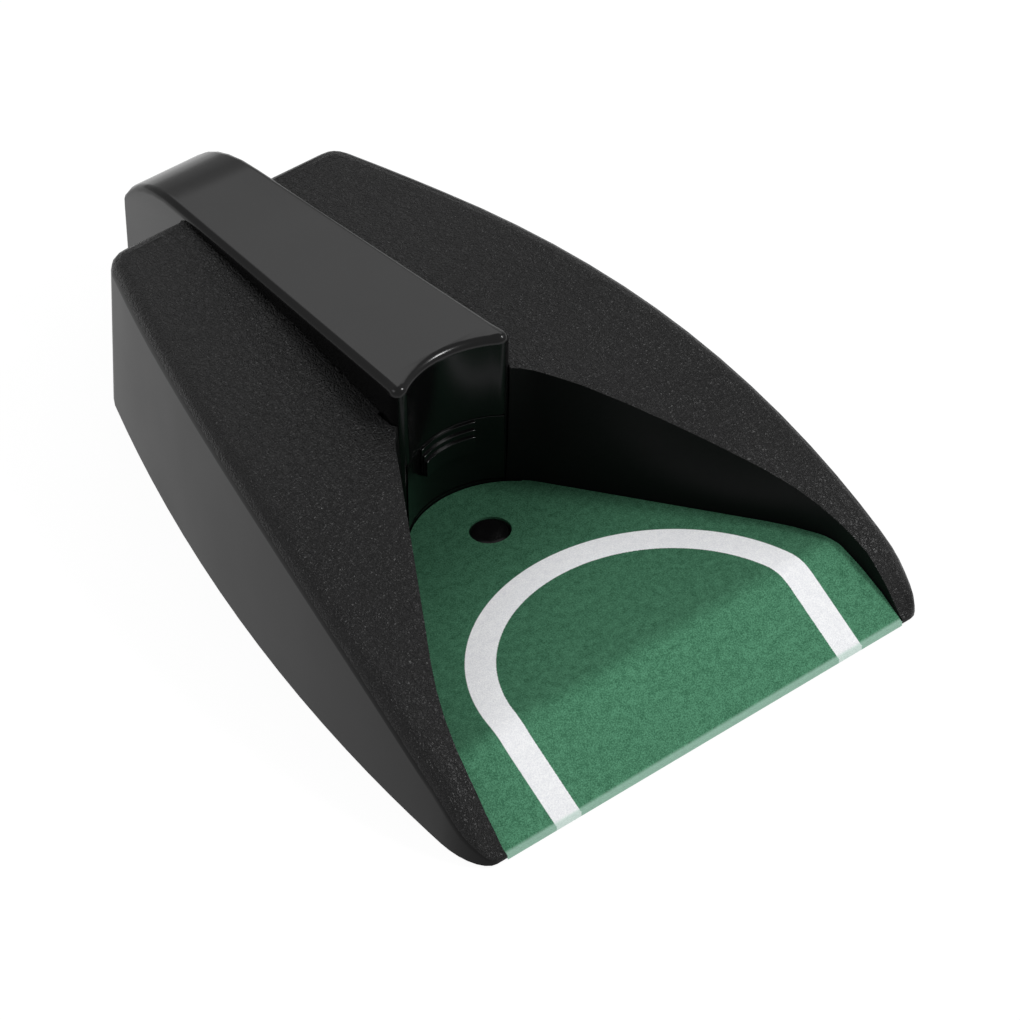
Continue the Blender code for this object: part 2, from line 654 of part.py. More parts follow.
# Ball trigger: a domed button in the hole, held up by a spring over its switch.
BUTTON_TOP = felt_height(HOLE_Y) - 0.5
turned(
    "trigger_button",
    [(0, 8.0), (2.4, 8.0), (2.4, 9.4), (6.3, 9.4), (6.8, 9.8), (6.8, BUTTON_TOP - 0.8),
     (6.2, BUTTON_TOP - 0.3), (4.4, BUTTON_TOP - 0.08), (0, BUTTON_TOP)],
    SATIN_BLACK, 24, "Z", (0, HOLE_Y, 0),
)
place(box((-12, HOLE_Y - 12, 3.85), (12, HOLE_Y + 12, 4.85)), "sensor_board", BOARD_GREEN)
place(box((-2.9, HOLE_Y - 2.9, 5.15), (2.9, HOLE_Y + 2.9, 6.5)), "trigger_switch", PLAIN_BLACK)


def coil(name, axis_point, axis, radius, wire, length, turns, finish, steps=10):
    """A compression spring with its wire on a helix about a row axis."""
    curve = bpy.data.curves.new(name, "CURVE")
    curve.dimensions = "3D"
    curve.bevel_depth = wire / 2 * MM
    curve.bevel_resolution = 1
    curve.use_fill_caps = True
    line = curve.splines.new("POLY")
    count = int(turns * steps)
    line.points.add(count)
    run = length - wire
    for i, point in enumerate(line.points):
        turn = 2 * math.pi * i / steps
        along = wire / 2 + run * i / count
        spot = TURNS[axis] @ Vector((radius * math.cos(turn), radius * math.sin(turn), along))
        spot += Vector(axis_point) + Vector((0, FRONT_Y, 0))
        point.co = (*(spot * MM), 1)
    curve.materials.append(finish)
    parts.objects.link(bpy.data.objects.new(name, curve))


coil("trigger_spring", (0, HOLE_Y, 5.15), "Z", 4.9, 0.5, 3.9, 3.5, STEEL)


def wall_arc(front, back, half):
    """A band of the pocket's curved rear wall between two radii, out to a half width."""
    outer = math.degrees(math.acos(half / back))
    inner = math.degrees(math.acos(half / front))
    away = arc(0, NOSE_Y, back, back, outer, 180 - outer, 8)
    return away + arc(0, NOSE_Y, front, front, 180 - inner, inner, 8)


# Kicker plate: the curved striker that fills the pocket's window, with a stepped pad.
kicker_plate = place(
    slab(wall_arc(NOSE_RADIUS + 0.1, NOSE_RADIUS + KICKER_THICK, KICKER_HALF), KICKER_LOW, KICKER_TOP),
    "kicker_plate", SATIN_BLACK,
)
for number, (top, proud) in enumerate(PAD_STEPS, 1):
    band = wall_arc(NOSE_RADIUS - proud, NOSE_RADIUS + 1.0, PAD_HALF - 0.6 * (number - 1))
    join(kicker_plate, tool(slab(band, PAD_LOW, top), f"pad_step_{number}"))

# Plunger rack: a square rod behind the kicker with teeth on its top.
ROD_FRONT_Y = NOSE_Y + NOSE_RADIUS + KICKER_THICK + 0.35
plunger_rack = place(
    box((-ROD_HALF, ROD_FRONT_Y, ROD_Z - ROD_HALF), (ROD_HALF, ROD_END_Y, ROD_Z + ROD_HALF)),
    "plunger_rack", NYLON,
)
flange = box((-7, ROD_FRONT_Y, ROD_Z - 7), (7, ROD_FRONT_Y + 1.6, ROD_Z + ROD_HALF))
join(plunger_rack, tool(flange, "rack_flange"))
rack_pitch = math.pi * RACK_MODULE
rack_line = [(SECTOR_Y - 20.0, ROD_Z + ROD_HALF - 0.8)]
for k in range(-5, 3):
    centre = SECTOR_Y + (k + 0.5) * rack_pitch
    rack_line += [
        (centre - 0.26 * rack_pitch, ROD_Z + ROD_HALF),
        (centre - 0.11 * rack_pitch, RACK_PITCH_Z + 0.8),
        (centre + 0.11 * rack_pitch, RACK_PITCH_Z + 0.8),
        (centre + 0.26 * rack_pitch, ROD_Z + ROD_HALF),
    ]
rack_line.append((SECTOR_Y + 3.2 * rack_pitch, ROD_Z + ROD_HALF - 0.8))
join(plunger_rack, tool(slab(rack_line, -ROD_HALF, ROD_HALF, "X"), "rack_teeth"))
SPRING_START = ROD_FRONT_Y + 1.9
coil("kick_spring", (0, SPRING_START, ROD_Z), "Y", 5.4, 1.1, 166.2 - SPRING_START, 6, STEEL, 12)


def gear_outline(teeth, module, centre, first, kept=None):
    """A straight-flanked gear in the y-z plane. A kept count makes a sector of that many teeth."""
    pitch_radius = teeth * module / 2
    step = 2 * math.pi / teeth
    root, tip = pitch_radius - 1.2 * module, pitch_radius + 0.8 * module
    points = []
    for k in range(teeth):
        middle = first + k * step
        present = kept is None or k in kept
        for share, radius in ((-0.27, root), (-0.10, tip), (0.10, tip), (0.27, root)):
            reach = radius if present else root
            angle = middle + share * step
            points.append((centre[0] + reach * math.cos(angle), centre[1] + reach * math.sin(angle)))
    return points


def gear(name, outlines, centre, finish, hub):
    """A moulded gear: each toothed rim between its two faces, joined on a hub, bored through."""
    origin = (0, centre[0], centre[1])
    made = place(rod("X", (hub[0], *centre), hub[1] - hub[0], hub[2], 20), name, finish, origin)
    for number, (outline, low, high) in enumerate(outlines, 1):
        join(made, tool(slab(outline, low, high, "X"), f"{name}_rim_{number}"))
    bore = rod("X", (hub[0] - 2, *centre), hub[1] - hub[0] + 4, BORE_RADIUS, 14)
    cut(made, tool(bore, f"{name}_bore"))


def beside(centre, angle, teeth_a, teeth_b):
    reach = (teeth_a + teeth_b) * TRAIN_MODULE / 2 + MESH_SLACK
    return centre[0] + reach * math.cos(angle), centre[1] + reach * math.sin(angle)


def gap_phase(angle, teeth):
    """The tooth phase that faces a gap back along the line of centres."""
    return angle + math.pi + math.pi / teeth


SECTOR = (SECTOR_Y, RACK_PITCH_Z + SECTOR_TEETH * RACK_MODULE / 2 + MESH_SLACK)
MIDDLE = beside(SECTOR, MIDDLE_ANGLE, FINAL_TEETH, PINION_TEETH)
FIRST = beside(MIDDLE, FIRST_ANGLE, MIDDLE_TEETH, PINION_TEETH)
MOTOR = beside(FIRST, MOTOR_ANGLE, FIRST_TEETH, PINION_TEETH)

# Gear train: motor pinion, two reduction gears, and the sector that draws the rack back.
KEPT_TEETH = (0, 1, 16, 17, 18, 19)
sector_rim = gear_outline(SECTOR_TEETH, RACK_MODULE, SECTOR, math.radians(-90), KEPT_TEETH)
gear("sector_gear", [(sector_rim, -2.8, 2.8)], SECTOR, NYLON, (-4.0, 4.4, 4.5))
final_rim = gear_outline(FINAL_TEETH, TRAIN_MODULE, SECTOR, MIDDLE_ANGLE)
gear("final_gear", [(final_rim, 5.2, 8.0)], SECTOR, NYLON, (4.7, 9.4, 4.0))
middle_pinion, first_pinion, motor_rim = (
    gear_outline(PINION_TEETH, TRAIN_MODULE, centre, gap_phase(angle, PINION_TEETH))
    for centre, angle in ((MIDDLE, MIDDLE_ANGLE), (FIRST, FIRST_ANGLE), (MOTOR, MOTOR_ANGLE))
)
middle_rim = gear_outline(MIDDLE_TEETH, TRAIN_MODULE, MIDDLE, FIRST_ANGLE)
first_rim = gear_outline(FIRST_TEETH, TRAIN_MODULE, FIRST, MOTOR_ANGLE)
LONG_HUB = (-9.2, 9.4, 2.8)
gear("middle_gear", [(middle_pinion, 4.8, 8.4), (middle_rim, -7.5, -4.8)], MIDDLE, NYLON, LONG_HUB)
gear("first_gear", [(first_pinion, -8.0, -4.3), (first_rim, -1.0, 2.0)], FIRST, NYLON, LONG_HUB)
motor_pinion = place(rod("X", (-1.8, *MOTOR), 13.4, 1.0, 12), "motor_pinion", BRASS, (0, *MOTOR))
join(motor_pinion, tool(slab(motor_rim, -1.4, 2.6, "X"), "pinion_rim"))
for name, centre in (("sector_axle", SECTOR), ("middle_axle", MIDDLE), ("first_axle", FIRST)):
    place(rod("X", (-11.6, *centre), 23.7, AXLE_RADIUS, 14), name, STEEL)

# Motor: a flat-sided can bolted to the gearbox side plate, its boss through the plate's hole.
motor = place(rod("X", (12.0, *MOTOR), 30.0, 11.8, 28), "drive_motor", STEEL)
join(motor, tool(rod("X", (41, *MOTOR), 3.0, 3.5, 16), "motor_boss"))
for name, low, high in (("top", 10, 20), ("low", -20, -10)):
    flat = box((0, MOTOR[0] - 20, MOTOR[1] + low), (60, MOTOR[0] + 20, MOTOR[1] + high))
    cut(motor, tool(flat, f"motor_flat_{name}"))

# Gearbox frame: a floor on the battery box, the left side wall and the rod's two guides.
FLOOR_LOW = BAY_TOP + BAY_WALL + 0.3
FLOOR_TOP = FLOOR_LOW + 2.0
gearbox_frame = place(box((-11.3, 152, FLOOR_LOW), (11.5, 245, FLOOR_TOP)), "gearbox_frame", PLAIN_BLACK)
WALL_FOOT = FLOOR_TOP - 1
SIDE_OUTLINE = [
    (174, WALL_FOOT), (174, 58), (182, 63), (228, 63), (240, 56), (245, 50), (245, WALL_FOOT)
]
WAY_HALF = ROD_HALF + 0.35
join(gearbox_frame, tool(slab(SIDE_OUTLINE, -11.3, -9.7, "X"), "left_side"))
for name, y, half, top in (("front", 166.5, 9.0, ROD_Z + 5.6), ("rear", 214.0, 4.2, ROD_Z + WAY_HALF)):
    join(gearbox_frame, tool(box((-half, y, WALL_FOOT), (half, y + 2.5, top)), f"{name}_rod_guide"))
rod_way = box((-WAY_HALF, 160, ROD_Z - WAY_HALF), (WAY_HALF, 240, ROD_Z + WAY_HALF + 0.01))
cut(gearbox_frame, tool(rod_way, "rod_way"))
gearbox_side_plate = place(
    slab([(y, max(z, FLOOR_TOP + 0.3)) for y, z in SIDE_OUTLINE], 9.9, 11.5, "X"),
    "gearbox_side_plate", PLAIN_BLACK,
)
for name, centre in (("sector", SECTOR), ("middle", MIDDLE), ("first", FIRST)):
    hole = tool(rod("X", (-20, *centre), 40, AXLE_RADIUS + 0.3, 14), f"{name}_axle_hole")
    cut(gearbox_frame, hole)
    cut(gearbox_side_plate, hole)
cut(gearbox_side_plate, tool(rod("X", (5, *MOTOR), 10, 1.5, 14), "motor_shaft_hole"))
FRAME_SCREW_Y = 158.0
cut(gearbox_frame, tool(rod("Z", (0, FRAME_SCREW_Y, 17), 12, 1.7, 12), "frame_hole"))
cut(base_plate, tool(rod("Z", (0, FRAME_SCREW_Y, 17), 6, 1.7, 12), "box_screw_hole"))
frame_screw = place(rod("Z", (0, FRAME_SCREW_Y, 19.3), 3.7, 1.3, 10), "frame_screw", STEEL)
screw_head = rod("Z", (0, FRAME_SCREW_Y, FLOOR_TOP + 0.3), 1.6, 2.6, 12)
join(frame_screw, tool(screw_head, "frame_screw_head"))

# Control board: the timer and motor driver, on posts in the left arm.
control_board = place(box((-64, 174, 10.0), (-38, 205, 11.4)), "control_board", BOARD_GREEN)
BOARD_PARTS = {
    "timer_chip": ((-58, 180, 11), (-52, 190, 13)),
    "lead_socket": ((-50, 193, 11), (-44, 200, 17)),
    "capacitor": ((-60, 195, 11), (-57, 201, 14)),
}
for name, (low, high) in BOARD_PARTS.items():
    join(control_board, tool(box(low, high), name))

# Power inlet: the round socket in the back of the spine.
power_inlet = place(rod("Y", (0, 284, INLET_Z), 15.8, 4.6, 20), "power_inlet", PLAIN_BLACK)
cut(power_inlet, tool(rod("Y", (0, 289, INLET_Z), 14, 2.9, 16), "inlet_socket"))
join(power_inlet, tool(rod("Y", (0, 288, INLET_Z), 10, 0.9, 8), "inlet_pin"))


def lead(name, route, finish):
    """An insulated lead along a smooth curve through hand-set points."""
    curve = bpy.data.curves.new(name, "CURVE")
    curve.dimensions = "3D"
    curve.bevel_depth = 0.8 * MM
    curve.bevel_resolution = 1
    curve.use_fill_caps = True
    line = curve.splines.new("POLY")
    fine = []
    ends = [route[0]] + list(route) + [route[-1]]
    for p0, p1, p2, p3 in zip(ends, ends[1:], ends[2:], ends[3:]):
        a, b, c, d = (Vector(p) for p in (p0, p1, p2, p3))
        square = 2 * a - 5 * b + 4 * c - d
        cube = 3 * b - a - 3 * c + d
        for t in (0.0, 0.25, 0.5, 0.75):
            fine.append(0.5 * (2 * b + (c - a) * t + square * t**2 + cube * t**3))
    fine.append(Vector(route[-1]))
    line.points.add(len(fine) - 1)
    for point, spot in zip(line.points, fine):
        point.co = (*((spot + Vector((0, FRONT_Y, 0))) * MM), 1)
    curve.materials.append(finish)
    parts.objects.link(bpy.data.objects.new(name, curve))


# Leads: from the battery box, the motor and the sensor board to the control board.
lead("battery_lead", [(-33.2, 186, 14.5), (-35.5, 186.5, 16), (-39, 187, 15.5), (-41, 187, 12.1)], LEAD_RED)
lead(
    "motor_lead",
    [(44.5, 229.8, 42.8), (47.5, 229, 39), (47.5, 226, 28), (43, 222.3, 14), (34, 221.5, 6.8),
     (0, 221.5, 6.2), (-30, 221.5, 6.5), (-44, 214, 8), (-49, 208, 11.5), (-49, 204, 14.2),
     (-49, 202.8, 12.4)],
    LEAD_RED,
)
lead(
    "sensor_lead",
    [(-8, 121, 5.9), (-12, 126, 5.6), (-17, 134, 5.4), (-24, 143, 5.4), (-36, 152, 5.6), (-46, 162, 8),
     (-49, 169, 13), (-49.5, 174, 15), (-49.5, 177, 12.4)],
    PLAIN_BLACK,
)
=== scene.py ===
import math

import bmesh
import bpy
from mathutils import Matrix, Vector


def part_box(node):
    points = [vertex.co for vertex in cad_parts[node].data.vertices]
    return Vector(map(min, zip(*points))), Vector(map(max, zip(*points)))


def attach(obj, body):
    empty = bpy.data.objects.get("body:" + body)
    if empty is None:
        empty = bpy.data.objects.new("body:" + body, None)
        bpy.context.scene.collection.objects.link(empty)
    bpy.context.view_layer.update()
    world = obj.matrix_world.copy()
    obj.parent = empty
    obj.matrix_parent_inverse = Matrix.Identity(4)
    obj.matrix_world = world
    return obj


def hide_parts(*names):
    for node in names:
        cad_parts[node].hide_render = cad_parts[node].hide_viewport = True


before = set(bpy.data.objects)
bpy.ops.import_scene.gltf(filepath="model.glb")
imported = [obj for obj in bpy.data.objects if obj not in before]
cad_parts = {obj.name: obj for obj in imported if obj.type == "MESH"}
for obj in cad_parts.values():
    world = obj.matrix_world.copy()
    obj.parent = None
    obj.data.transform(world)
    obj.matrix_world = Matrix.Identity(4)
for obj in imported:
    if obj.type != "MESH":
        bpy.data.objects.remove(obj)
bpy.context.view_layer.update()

# The view: the cup seen from the left of its mouth and from above, through a long lens.
# The lens looks at a point on the floor under the middle of the felt.
AIM = Vector((0.01975, -0.0239, 0.0))
AZIMUTH = math.radians(-39.15)
ELEVATION = math.radians(42.12)
DISTANCE = 1.4989
LENS, SENSOR = 155.54, 36.0
toward_lens = Vector((
    math.sin(AZIMUTH) * math.cos(ELEVATION),
    -math.cos(AZIMUTH) * math.cos(ELEVATION),
    math.sin(ELEVATION),
))
bpy.ops.object.camera_add(location=AIM + toward_lens * DISTANCE)
camera = bpy.context.object
camera.name = "view_camera"
camera.rotation_mode = "QUATERNION"
camera.rotation_quaternion = toward_lens.to_track_quat("Z", "Y")
camera.data.lens = LENS
camera.data.sensor_width = SENSOR
bpy.context.scene.camera = camera


# The studio: a white table that glows slightly, so that it meets the white sky, and three soft boxes.
# The mouth light stands where the sloping front mirrors it, so the grain glints at the case's tips.
class Wire:
    """A socket of a finish that takes part in Python arithmetic, each operator adding a Math node."""

    def __init__(self, finish, socket):
        self.finish = finish
        self.socket = socket

    def math(self, operation, *values):
        """A Math node on the given values, for what has no operator of its own."""
        return self.finish.add("ShaderNodeMath", {"operation": operation}, dict(enumerate(values)))

    def __add__(self, other):
        return self.math("ADD", self, other)

    def __sub__(self, other):
        return self.math("SUBTRACT", self, other)

    def __rsub__(self, other):
        return self.math("SUBTRACT", other, self)

    def __mul__(self, other):
        return self.math("MULTIPLY", self, other)

    def __pow__(self, other):
        return self.math("POWER", self, other)

    __radd__ = __add__
    __rmul__ = __mul__

    def rise(self, low, high):
        """0 below the low value and 1 above the high one, with a smooth step between them."""
        return self.finish.add(
            "ShaderNodeMapRange", {"interpolation_type": "SMOOTHSTEP"},
            {"Value": self, "From Min": low, "From Max": high},
        )


class Finish:
    """A material built on a Principled shader, whose patterns follow the piece's own place."""

    def __init__(self, name, **constants):
        self.material = bpy.data.materials.new(name)
        self.material.use_nodes = True
        self.tree = self.material.node_tree
        self.shader = self.tree.nodes["Principled BSDF"]
        self.place = self.add("ShaderNodeTexCoord", output="Object")
        self.set(**constants)

    def add(self, kind, settings=None, sockets=None, output=0):
        """One node: its settings first, then the values or the links of its sockets."""
        made = self.tree.nodes.new(kind)
        for key, value in (settings or {}).items():
            setattr(made, key, value)
        for key, value in (sockets or {}).items():
            self.fill(made.inputs[key], value)
        return Wire(self, made.outputs[output])

    def fill(self, socket, value):
        if isinstance(value, Wire):
            self.tree.links.new(value.socket, socket)
        else:
            socket.default_value = (*value, 1.0) if socket.type == "RGBA" else value

    def set(self, **values):
        """The shader's own sockets, named in lower case with underscores."""
        for key, value in values.items():
            self.fill(self.shader.inputs[key.replace("_", " ").title().replace("Ior", "IOR")], value)

    def noise(self, size, detail=2.0, roughness=0.5, place=None):
        """Smooth noise from 0 to 1 whose blobs are about the given size in metres."""
        return self.add(
            "ShaderNodeTexNoise", None,
            {"Vector": place or self.place, "Scale": 1 / size, "Detail": detail, "Roughness": roughness},
        )

    def mix(self, share, first, second):
        """The first colour where the share is 0 and the second where it is 1."""
        return self.add(
            "ShaderNodeMix", {"data_type": "RGBA"}, {0: share, 6: first, 7: second}, output=2
        )

    def bump(self, height, depth):
        """Relief from a height of 0 to 1 that stands the given depth in metres."""
        return self.add(
            "ShaderNodeBump", None, {"Height": height, "Distance": depth, "Strength": 1.0}
        )


TABLE_SIZE = 14.0
TABLE_GAP = 0.0002
bpy.context.scene.view_settings.view_transform = "Standard"
bpy.ops.object.select_all(action="DESELECT")
bpy.ops.mesh.primitive_plane_add(size=TABLE_SIZE, location=(0, 0, -TABLE_GAP))
table = bpy.context.object
table.name = "white_table"
table_paint = Finish(
    "white_table_paint", base_color=(0.10, 0.10, 0.10), roughness=1.0, specular_ior_level=0.0,
    emission_color=(1, 1, 1), emission_strength=0.94,
)
table.data.materials.append(table_paint.material)

sky = bpy.data.worlds.new("white_studio")
sky.use_nodes = True
sky.node_tree.nodes["Background"].inputs["Color"].default_value = (1, 1, 1, 1)
sky.node_tree.nodes["Background"].inputs["Strength"].default_value = 0.52
bpy.context.scene.world = sky

for name, place, size, power in (
    ("mouth_light", (0.75, -0.77, 1.18), (0.3, 0.3), 11.5),
    ("back_light", (0.75, 0.95, 1.1), (1.2, 0.7), 2.6),
    ("left_light", (-1.2, 0.3, 0.9), (0.9, 0.5), 3.0),
):
    bpy.ops.object.light_add(type="AREA", location=place)
    lamp = bpy.context.object
    lamp.name = name
    lamp.data.shape = "RECTANGLE"
    lamp.data.size, lamp.data.size_y = size
    lamp.data.energy = power
    lamp.rotation_mode = "QUATERNION"
    lamp.rotation_quaternion = Vector(place).to_track_quat("Z", "Y")


# Wing shell: the upper case, one injection moulding in black ABS with a leather grain on its top.
# The steep sides and the pocket's flanks are polished in the mould, and the edges above the floor
# are slightly broken.
FRONT_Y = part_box("wing_shell")[0][1]
WELD = 2e-5
FLAT_WITHIN = math.radians(0.4)
SHARP_OVER = math.radians(35)
WINGS_FOOT = 0.004


def copied(name, source):
    """A working copy of a CAD node, with its doubled vertices welded and its flats made whole."""
    bpy.ops.object.select_all(action="DESELECT")
    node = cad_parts[source]
    piece = bpy.data.objects.new(name, node.data.copy())
    bpy.context.scene.collection.objects.link(piece)
    piece.data.materials.clear()
    bpy.context.view_layer.objects.active = piece
    piece.select_set(True)
    bpy.ops.object.mode_set(mode="EDIT")
    bpy.ops.mesh.select_all(action="SELECT")
    bpy.ops.mesh.remove_doubles(threshold=WELD)
    bpy.ops.mesh.dissolve_limited(angle_limit=FLAT_WITHIN)
    bpy.ops.object.mode_set(mode="OBJECT")
    return piece


def soften(piece, chosen, width, segments):
    """Bevels the sharp convex edges whose middle passes a test."""
    bpy.ops.object.mode_set(mode="EDIT")
    bpy.ops.mesh.select_mode(type="EDGE")
    bpy.ops.mesh.select_all(action="DESELECT")
    mesh = bmesh.from_edit_mesh(piece.data)
    for edge in mesh.edges:
        if len(edge.link_faces) == 2 and edge.is_convex and edge.calc_face_angle() > SHARP_OVER:
            edge.select_set(chosen((edge.verts[0].co + edge.verts[1].co) / 2))
    bmesh.update_edit_mesh(piece.data)
    bpy.ops.mesh.bevel(offset=width, segments=segments, profile=0.5, clamp_overlap=True)
    bpy.ops.object.mode_set(mode="OBJECT")


def shaded(piece, angle=32):
    """Smooth shading that follows the large faces, so that flats stay flat beside their fillets."""
    bpy.ops.object.select_all(action="DESELECT")
    bpy.context.view_layer.objects.active = piece
    piece.select_set(True)
    bpy.ops.object.shade_smooth_by_angle(angle=math.radians(angle))
    lean = piece.modifiers.new("lean_on_large_faces", "WEIGHTED_NORMAL")
    lean.keep_sharp = True


def dress(finish, *names):
    """Gives CAD nodes that stay as they are a finish in their material slots."""
    for name in names:
        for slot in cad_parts[name].material_slots:
            slot.material = finish.material


def settled(piece, body, node):
    """Puts a finished piece on its body, in the place of its CAD node."""
    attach(piece, body)
    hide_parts(node)


wings = copied("wings", "wing_shell")
soften(wings, lambda at: at.z > WINGS_FOOT, width=0.0007, segments=3)
shaded(wings)

# The grain is two nets of rounded cells, pebbles and wider creases, bent by a noise.
# It fades out where the surface turns steep.
PEBBLE, CREASE, BEND = 1 / 950.0, 1 / 300.0, 0.0012
GRAIN_DEPTH = 0.00034
grained = Finish("grained_black_abs")
wander = grained.add(
    "ShaderNodeTexNoise", None, {"Vector": grained.place, "Scale": 500.0, "Detail": 2.0}, output="Color"
)
bent = grained.add(
    "ShaderNodeMix", {"data_type": "VECTOR"}, {0: BEND, 4: grained.place, 5: wander}, output=1
)
pebbles, creases = (
    grained.add(
        "ShaderNodeTexVoronoi", {"feature": "DISTANCE_TO_EDGE"}, {"Vector": bent, "Scale": 1 / size}
    ).rise(0.0, slope)
    for size, slope in ((PEBBLE, 0.3), (CREASE, 0.12))
)
surface = grained.add("ShaderNodeNewGeometry", output="True Normal")
upward = grained.add("ShaderNodeSeparateXYZ", None, {"Vector": surface}, output="Z").rise(0.15, 0.5)
relief = pebbles * 0.55 + creases * 0.45
polish = grained.noise(0.03, 3.0)
mottle = grained.noise(0.0012, 3.0)
tone = polish * 0.5 + mottle * 0.5
grained.set(
    base_color=grained.mix(tone, (0.0022, 0.0022, 0.0023), (0.0034, 0.0034, 0.0036)),
    roughness=0.34 + polish * 0.06 + upward * 0.02,
    specular_ior_level=0.28,
    normal=grained.bump(relief * upward, GRAIN_DEPTH),
)
wings.data.materials.append(grained.material)

# The polished skin covers the steep faces, those whose normals lie nearly level.
STEEP_UNDER = 0.22
polished = Finish("polished_side_abs", specular_ior_level=0.13)
ripple = polished.noise(0.03, 3.0)
polished.set(
    base_color=polished.mix(ripple, (0.0022, 0.0022, 0.0023), (0.0030, 0.0030, 0.0031)),
    roughness=0.36 + ripple * 0.06,
)
wings.data.materials.append(polished.material)
for face in wings.data.polygons:
    face.material_index = 1 if face.normal.z < STEEP_UNDER else 0
settled(wings, "case", "wing_shell")

# Centre cover: the raised spine, a second moulding with a plain satin skin that clips over the deck.
# Its edges clear of the deck carry a small radius that catches the light.
SPINE_BARE = 0.03
spine = copied("spine", "centre_cover")
soften(spine, lambda at: at.z > SPINE_BARE, width=0.0004, segments=2)
shaded(spine)
satin = Finish("satin_black_abs")
haze = satin.noise(0.02, 4.0)
grit = satin.noise(0.0003, 2.0)
satin.set(
    base_color=satin.mix(haze, (0.0016, 0.0016, 0.0017), (0.0024, 0.0024, 0.0025)),
    roughness=0.17 + haze * 0.05,
    specular_ior_level=0.31,
    normal=satin.bump(grit, 0.000002),
)
spine.data.materials.append(satin.material)
settled(spine, "case", "centre_cover")

# Felt: short green felt glued to the ramp, with a printed white arc and a punched hole.
# Shade is painted into its colour: the flat behind the crest is darker than the front slope, which faces
# the light, and darker still towards the pocket. Its front edge is turned down over the ramp's lip.
LINE_INNER, LINE_OUTER, LINE_EDGE = 0.0549, 0.0650, 0.00015
LINE_CENTRE = Vector((0.0009, FRONT_Y + 0.0231))
LIP_BACK = FRONT_Y + 0.001
HEM, HEM_LOW, HEM_HIGH = 0.0005, 0.0004, 0.0018
FACING_FRONT, FACING_UP = -0.9, 0.5
CUT_EDGE = FRONT_Y + 0.0004, FRONT_Y + 0.0016
CREST = FRONT_Y + 0.026, FRONT_Y + 0.036
FAR_END = FRONT_Y + 0.07, FRONT_Y + 0.125
felt_sheet = copied("felt_sheet", "felt")
bpy.ops.object.mode_set(mode="EDIT")
bpy.ops.mesh.select_mode(type="FACE")
bpy.ops.mesh.select_all(action="DESELECT")
cloth = bmesh.from_edit_mesh(felt_sheet.data)
for face in cloth.faces:
    face.select_set(face.normal.y < FACING_FRONT and face.calc_center_median().y < LIP_BACK)
bmesh.update_edit_mesh(felt_sheet.data)
bpy.ops.mesh.extrude_region_move(TRANSFORM_OT_translate={"value": (0, -HEM, 0)})
cloth = bmesh.from_edit_mesh(felt_sheet.data)
for vert in cloth.verts:
    if vert.select and vert.co.z < HEM_HIGH:
        vert.co.z = HEM_LOW
bmesh.update_edit_mesh(felt_sheet.data)
bpy.ops.object.mode_set(mode="OBJECT")
shaded(felt_sheet, angle=50)
felt = Finish("green_felt", roughness=0.95, specular_ior_level=0.1)
spot = felt.add("ShaderNodeSeparateXYZ", None, {"Vector": felt.place})
along = Wire(felt, spot.socket.node.outputs["Y"])
across = spot - LINE_CENTRE.x
behind = along - LINE_CENTRE.y
past = behind.math("MAXIMUM", behind, 0.0)
reach = (across * across + past * past) ** 0.5
ragged = reach + felt.noise(0.0005, 2.0) * (2 * LINE_EDGE) - LINE_EDGE
past_inner, past_outer = (
    ragged.rise(radius - LINE_EDGE, radius + LINE_EDGE) for radius in (LINE_INNER, LINE_OUTER)
)
line = past_inner - past_outer
fibres = felt.noise(0.0005, 3.0, 0.8)
clumps = felt.noise(0.0025, 2.0)
tufts = (fibres * 0.8 + clumps * 0.2).rise(0.34, 0.68)
# Painted shade: the green is mixed towards black behind the crest, and more towards the pocket.
painted_shade = 1.0 - along.rise(*CREST) * 0.30 - along.rise(*FAR_END) * 0.22
shade = felt.mix(tufts, (0.030, 0.118, 0.062), (0.105, 0.305, 0.180))
green = felt.mix(painted_shade, (0.0, 0.0, 0.0), shade)
white = felt.mix(tufts, (0.78, 0.79, 0.82), (0.97, 0.975, 0.98))
cut_edge = 1.0 - along.rise(*CUT_EDGE)
inked = felt.mix(cut_edge * 0.6, felt.mix(line, green, white), (0.42, 0.62, 0.52))
felt.set(base_color=inked, normal=felt.bump(fibres, 0.00022))
felt_sheet.data.materials.append(felt.material)
settled(felt_sheet, "case", "felt")

# Kicker and ball trigger: the curved striker in the pocket's window, and the button in the hole.
# Both share the spine's satin black. The kicker's edges are slightly broken.
kicker = copied("kicker", "kicker_plate")
soften(kicker, lambda at: True, width=0.0003, segments=2)
shaded(kicker)
kicker.data.materials.append(satin.material)
settled(kicker, "kicker", "kicker_plate")

button = copied("button", "trigger_button")
shaded(button)
button.data.materials.append(satin.material)
settled(button, "trigger", "trigger_button")

# Plain black mouldings: the floor, the ramp, the door and the gearbox walls, left as they came out
# of the tool, with a fine spark-eroded texture.
eroded = Finish("plain_black_abs")
pits = eroded.noise(0.0006, 3.0, 0.6)
flow = eroded.noise(0.05, 3.0)
eroded.set(
    base_color=eroded.mix(flow, (0.010, 0.010, 0.011), (0.016, 0.016, 0.017)),
    roughness=0.48 + flow * 0.14,
    normal=eroded.bump(pits, 0.00004),
)
dress(
    eroded, "base_plate", "ramp_plate", "battery_door", "gearbox_frame", "gearbox_side_plate",
    "trigger_switch", "power_inlet", "sensor_lead",
)

